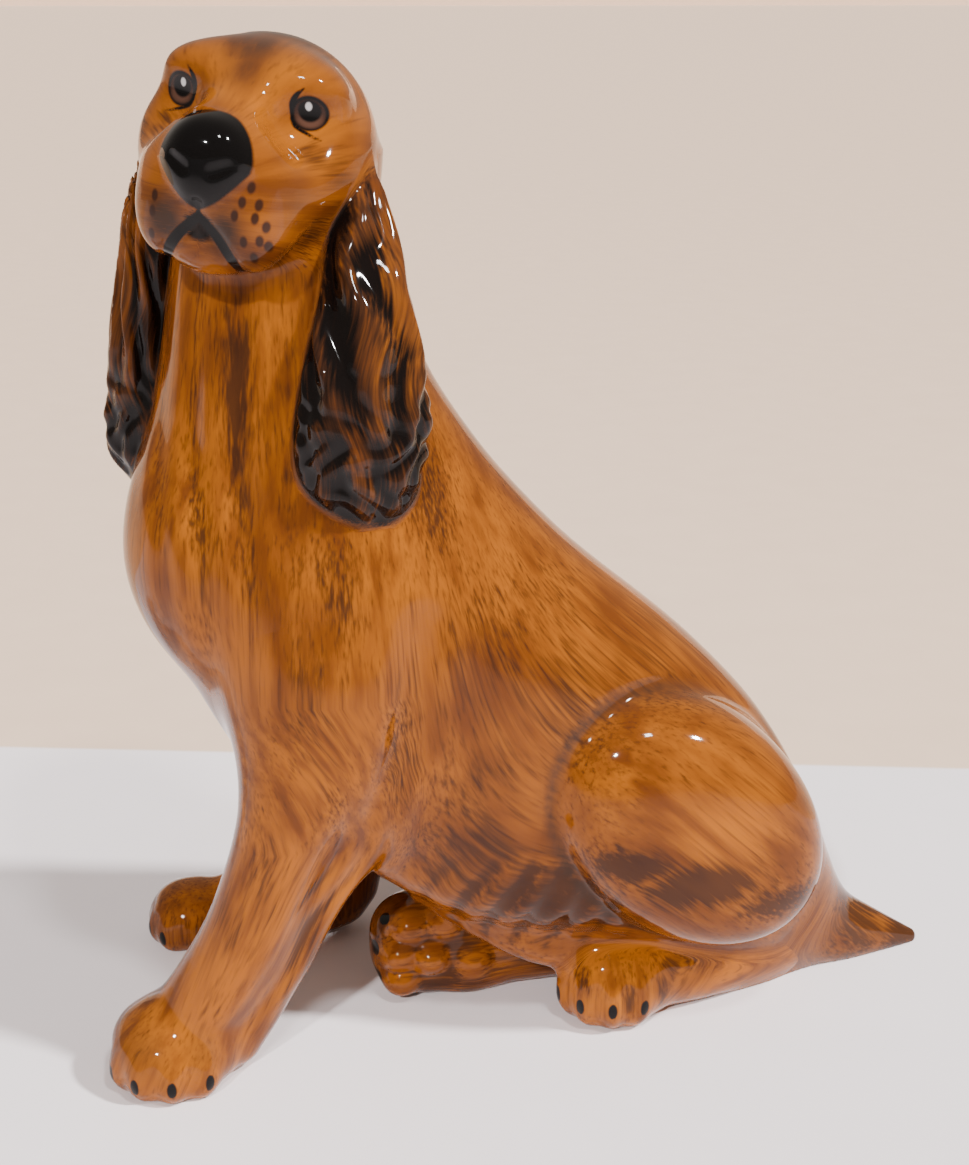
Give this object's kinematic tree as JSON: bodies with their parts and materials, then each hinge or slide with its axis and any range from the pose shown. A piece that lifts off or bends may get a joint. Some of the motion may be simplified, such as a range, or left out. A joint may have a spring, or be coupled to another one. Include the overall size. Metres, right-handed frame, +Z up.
{
  "type": "seated spaniel figure",
  "caption": "Seated spaniel ornament in hand-painted glazed earthenware, resting on one hip with its head turned to its left.",
  "frame": {"origin": "middle of the footprint, on the ground the figure stands on", "axes": "+Z up, -Y the way the chest faces, +X the dog's left side"},
  "size_m": [0.1171, 0.2448, 0.268],
  "materials": {
    "body_glaze": "glossy",
    "ear_glaze": "glossy",
    "limb_glaze": "glossy",
    "luting_slip": "matte"
  },
  "bodies": {
    "root": {"body_casting": "body_glaze", "head_casting": "body_glaze", "left_ear": "ear_glaze", "right_ear": "ear_glaze", "left_foreleg": "limb_glaze", "right_foreleg": "limb_glaze", "left_hind_foot": "limb_glaze", "right_hind_foot": "limb_glaze", "tail": "limb_glaze", "neck_slip": "luting_slip", "left_ear_slip": "luting_slip", "right_ear_slip": "luting_slip", "left_foreleg_slip": "luting_slip", "right_foreleg_slip": "luting_slip", "left_hind_foot_slip": "luting_slip", "right_hind_foot_slip": "luting_slip", "tail_slip": "luting_slip"}
  },
  "joints": []
}
